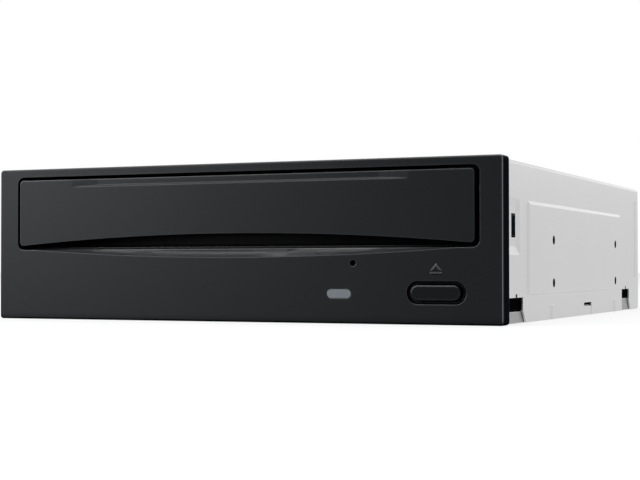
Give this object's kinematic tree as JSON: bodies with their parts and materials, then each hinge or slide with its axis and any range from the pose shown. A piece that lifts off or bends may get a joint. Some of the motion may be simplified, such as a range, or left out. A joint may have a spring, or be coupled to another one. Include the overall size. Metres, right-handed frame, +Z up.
{
  "type": "internal disc writer",
  "caption": "Half-height drive-bay optical disc writer with a motor-driven loading tray, eject button, activity window and serial power and data sockets.",
  "frame": {"origin": "middle of the footprint, at the height of the bezel's lower edge", "axes": "+X right seen from the front, +Y toward the rear, +Z up; the bezel faces -Y"},
  "size_m": [0.148, 0.171, 0.042],
  "materials": {
    "bezel_black": "fine-grained matte, near black",
    "window_grey": "clear grey-blue window",
    "case_steel": "galvanised sheet, satin",
    "screw_steel": "plated steel",
    "frame_black": "moulded black",
    "tray_black": "moulded near black",
    "nylon_white": "natural nylon",
    "belt_rubber": "matte black rubber",
    "damper_rubber": "soft grey rubber",
    "motor_steel": "drawn steel can",
    "board_green": "solder-masked board",
    "chip_black": "moulded package",
    "socket_cream": "moulded socket",
    "cap_sleeve": "bare can",
    "cable_white": "laminated flat cable",
    "chassis_steel": "pressed steel",
    "rod_steel": "ground steel",
    "sled_metal": "die-cast",
    "rotor_black": "moulded black",
    "lens_glass": "coated lens",
    "magnet_steel": "plated magnet",
    "thread_steel": "rolled screw"
  },
  "bodies": {
    "housing": {"front_bezel": "bezel_black", "light_pipe": "window_grey", "top_cover": "case_steel", "bottom_plate": "case_steel", "case_screws": "screw_steel", "main_frame": "frame_black", "drive_belt": "belt_rubber", "loading_motor": "motor_steel", "motor_screws": "screw_steel", "clamp_bridge": "chassis_steel", "bridge_screws": "screw_steel", "front_board": "board_green", "tact_switch": "chip_black", "activity_light": "lens_glass", "main_board": "board_green", "main_chip": "chip_black", "driver_chip": "chip_black", "memory_chip": "chip_black", "capacitors": "cap_sleeve", "cable_sockets": "socket_cream", "front_cable": "cable_white", "power_connector": "chip_black", "data_connector": "chip_black", "board_screws": "screw_steel"},
    "tray": {"tray_door": "bezel_black", "disc_tray": "tray_black"},
    "button": {"eject_button": "bezel_black", "switch_plunger": "nylon_white"},
    "cam": {"cam_slider": "nylon_white"},
    "traverse": {"traverse_holder": "frame_black", "traverse_chassis": "chassis_steel", "dampers": "damper_rubber", "damper_screws": "screw_steel", "guide_rods": "rod_steel", "rod_clips": "frame_black", "spindle_base": "motor_steel", "stepper_motor": "motor_steel", "screw_bracket": "chassis_steel"},
    "spindle": {"spindle_rotor": "motor_steel", "turntable": "rotor_black", "grip_ring": "damper_rubber", "centring_cone": "rotor_black"},
    "pickup": {"sled": "sled_metal", "actuator_frame": "motor_steel", "screw_follower": "nylon_white"},
    "lens_carrier": {"lens_holder": "frame_black", "lens": "lens_glass"},
    "feed_screw": {"lead_screw": "thread_steel"},
    "clamp": {"clamper": "nylon_white", "clamper_magnet": "magnet_steel"},
    "rack_gear": {"drive_gear": "nylon_white"},
    "belt_gear": {"pulley_gear": "nylon_white"},
    "motor_wheel": {"motor_pulley": "nylon_white"}
  },
  "joints": [
    {"name": "tray_slide", "type": "slide", "parent": "housing", "child": "tray", "axis": [0, -1, 0], "range_m": [0, 0.132]},
    {"name": "eject_press", "type": "slide", "parent": "housing", "child": "button", "axis": [0, 1, 0], "range_m": [0, 0.0008], "stiffness_N_per_m": 400, "springref_m": -0.002},
    {"name": "traverse_lift", "type": "hinge", "parent": "housing", "child": "traverse", "pos_m": [0, 0.0655, 0.017], "axis": [-1, 0, 0], "range_deg": [0, 5.74]},
    {"name": "cam_slide", "type": "slide", "parent": "housing", "child": "cam", "axis": [1, 0, 0], "range_m": [0, 0.01801]},
    {"name": "spindle_spin", "type": "hinge", "parent": "traverse", "child": "spindle", "pos_m": [0, -0.01753, 0.02313], "axis": [0, -0.1, 0.995], "continuous": true},
    {"name": "sled_slide", "type": "slide", "parent": "traverse", "child": "pickup", "axis": [0, 0.995, 0.1], "range_m": [0, 0.034]},
    {"name": "feed_screw_spin", "type": "hinge", "parent": "traverse", "child": "feed_screw", "pos_m": [-0.0365, 0.00555, 0.01349], "axis": [0, 0.995, 0.1], "range_deg": [0, 4085]},
    {"name": "lens_focus", "type": "slide", "parent": "pickup", "child": "lens_carrier", "axis": [0, -0.1, 0.995], "range_m": [-0.0005, 0.0005], "stiffness_N_per_m": 60},
    {"name": "clamper_spin", "type": "hinge", "parent": "housing", "child": "clamp", "pos_m": [0, -0.0165, 0.0378], "axis": [0, 0, 1], "continuous": true},
    {"name": "rack_gear_spin", "type": "hinge", "parent": "housing", "child": "rack_gear", "pos_m": [-0.037, -0.0605, 0.022], "axis": [0, 0, 1], "range_deg": [0, 948]},
    {"name": "belt_gear_spin", "type": "hinge", "parent": "housing", "child": "belt_gear", "pos_m": [-0.0162, -0.0605, 0.022], "axis": [0, 0, 1], "range_deg": [-3156, 0]},
    {"name": "motor_wheel_spin", "type": "hinge", "parent": "housing", "child": "motor_wheel", "pos_m": [0.012, -0.0645, 0.023], "axis": [0, 0, 1], "range_deg": [-10840, 0]}
  ],
  "couplings": [
    {"joint": "cam_slide", "follows": "traverse_lift", "m_per_rad": 0.17967},
    {"joint": "rack_gear_spin", "follows": "tray_slide", "rad_per_m": 125},
    {"joint": "belt_gear_spin", "follows": "tray_slide", "rad_per_m": -416.67},
    {"joint": "motor_wheel_spin", "follows": "tray_slide", "rad_per_m": -1432.3},
    {"joint": "feed_screw_spin", "follows": "sled_slide", "rad_per_m": 2094.4}
  ]
}
